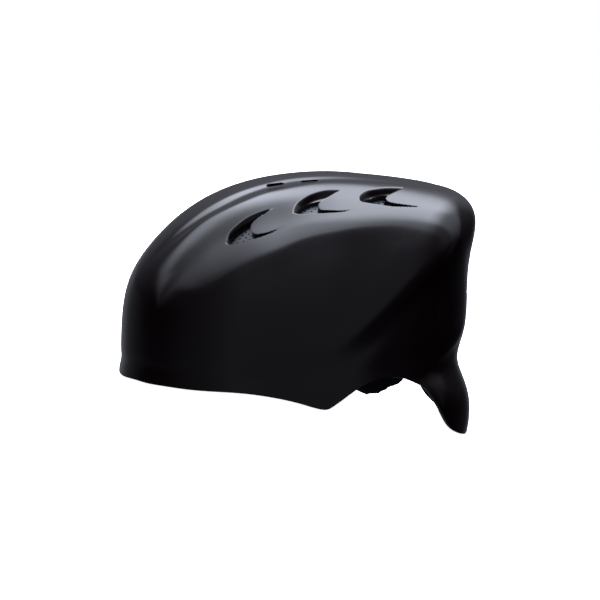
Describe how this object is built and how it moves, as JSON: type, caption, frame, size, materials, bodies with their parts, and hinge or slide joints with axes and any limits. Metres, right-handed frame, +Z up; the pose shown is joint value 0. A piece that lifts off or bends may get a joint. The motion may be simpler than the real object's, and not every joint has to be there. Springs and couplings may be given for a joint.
{
  "type": "sports helmet",
  "caption": "Hard-shell ball-sports helmet with swept V vents, a ridged crown, arches cut over the ears, a flared nape guard and a foam liner with pads.",
  "frame": {"origin": "on the surface it stands on, midway from side to side and from front to back", "axes": "+X to the wearer's left, +Y to the back of the head, +Z up, standing on its front rim and nape guard"},
  "size_m": [0.204, 0.2685, 0.1757],
  "materials": {
    "shell": "glossy black moulded plastic, polished",
    "screen": "dark grey perforated plastic sheet",
    "liner": "dark grey moulded bead foam",
    "pad": "blue-black brushed knit over soft foam"
  },
  "bodies": {
    "root": {"outer_shell": "shell", "vent_screen_left": "screen", "vent_screen_right": "screen", "crown_screen_left": "screen", "crown_screen_right": "screen", "rear_vent_screen": "screen", "front_liner": "liner", "crown_liner": "liner", "side_liner_left": "liner", "side_liner_right": "liner", "rear_liner": "liner", "brow_pad": "pad", "occipital_pad": "pad", "nape_pad": "pad", "temple_pad_left": "pad", "temple_pad_right": "pad", "ear_pad_left": "pad", "ear_pad_right": "pad", "crown_pad_left": "pad", "crown_pad_right": "pad"}
  },
  "joints": []
}
